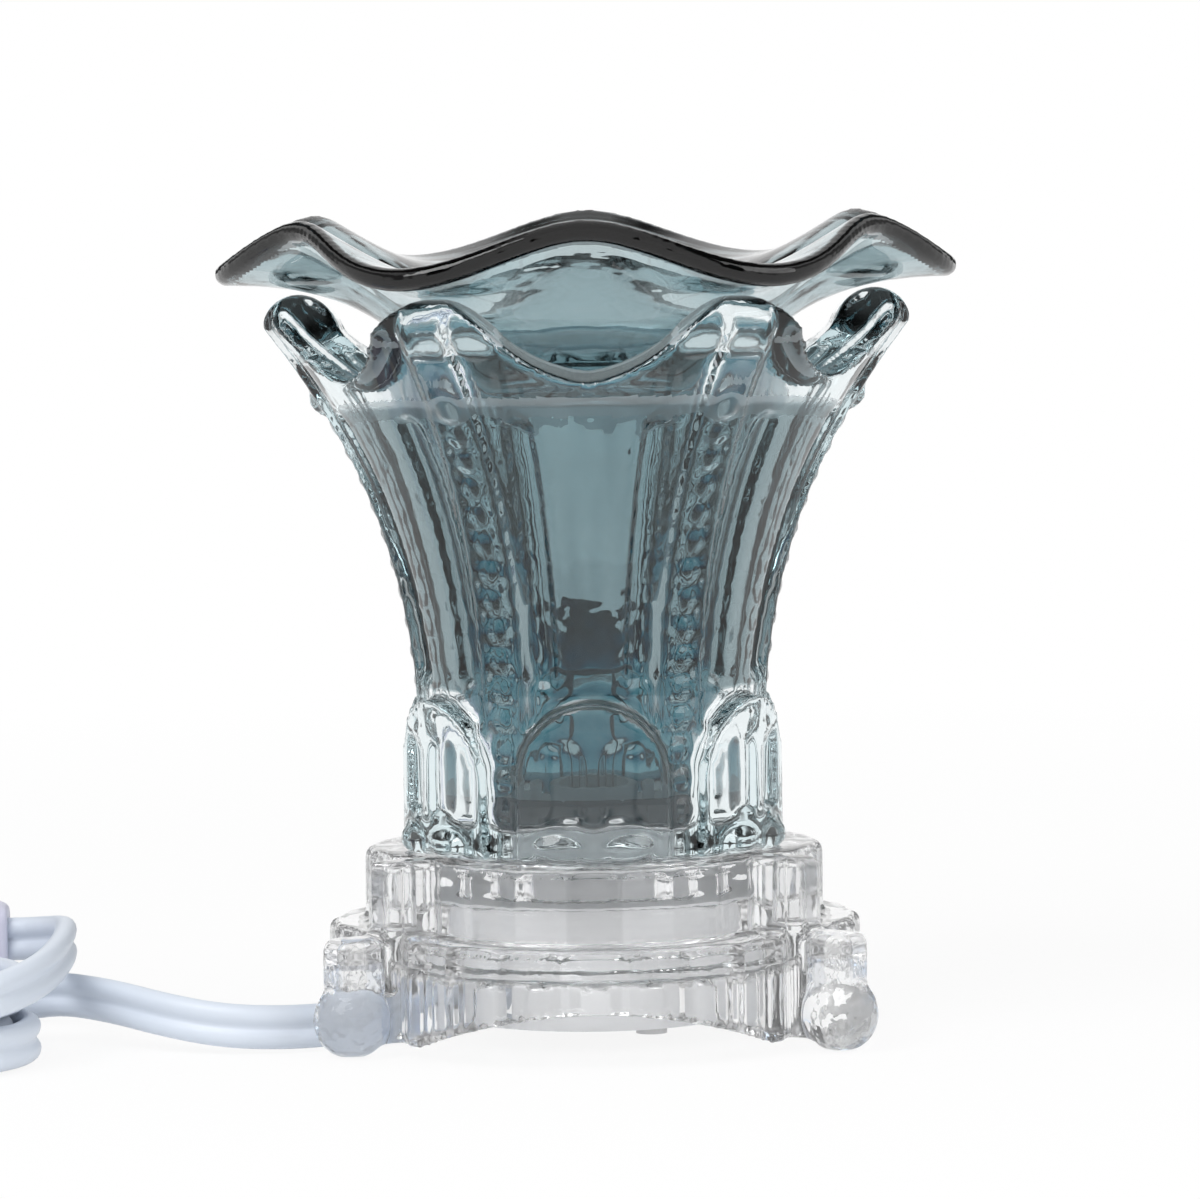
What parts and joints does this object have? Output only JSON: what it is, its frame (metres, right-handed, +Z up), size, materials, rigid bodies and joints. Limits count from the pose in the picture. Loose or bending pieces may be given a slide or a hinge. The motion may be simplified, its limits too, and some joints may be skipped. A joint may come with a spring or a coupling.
{
  "type": "wax melt warmer",
  "caption": "Electric wax melt warmer: ruffled smoked-glass dish on a flared pressed-glass body with horns, over a capsule bulb in a clear three-lobed base with cord and plug.",
  "frame": {"origin": "on the floor under the axis of the dish and the body, at the bottom of the ball feet", "axes": "+Z up along the axis, -Y to the front, +X to the right; the cord leaves towards -X"},
  "size_m": [0.257, 0.1048, 0.1272],
  "materials": {
    "clear_glass": "polished",
    "smoked_glass": "polished",
    "white_plastic": "satin",
    "steel": "satin",
    "ceramic": "glazed",
    "brass": "satin",
    "wire_sleeve": "matte",
    "splice_plastic": "satin",
    "bulb_glass": "polished",
    "tungsten": "dull",
    "cord_plastic": "satin",
    "plug_plastic": "satin"
  },
  "bodies": {
    "base": {"clear_base": "clear_glass", "glass_body": "smoked_glass", "socket_cup": "white_plastic", "bottom_cover": "white_plastic", "cover_screws": "steel", "lock_ring": "white_plastic", "lamp_holder": "ceramic", "contact_sleeves": "brass", "lead_wire_live": "wire_sleeve", "lead_wire_neutral": "wire_sleeve", "wire_splices": "splice_plastic", "cord_lead": "cord_plastic", "cord_hank": "cord_plastic", "cord_tail": "cord_plastic", "plug_body": "plug_plastic", "plug_blade_narrow": "brass", "plug_blade_wide": "brass"},
    "dish": {"wax_dish": "smoked_glass"},
    "bulb": {"bulb_glass": "bulb_glass", "bulb_pins": "steel", "bulb_filament": "tungsten"}
  },
  "joints": [
    {"name": "dish_lift", "type": "slide", "parent": "base", "child": "dish", "axis": [0, 0, 1], "range_m": [0, 0.04]},
    {"name": "bulb_pull", "type": "slide", "parent": "base", "child": "bulb", "axis": [0, 0, 1], "range_m": [0, 0.015]}
  ]
}
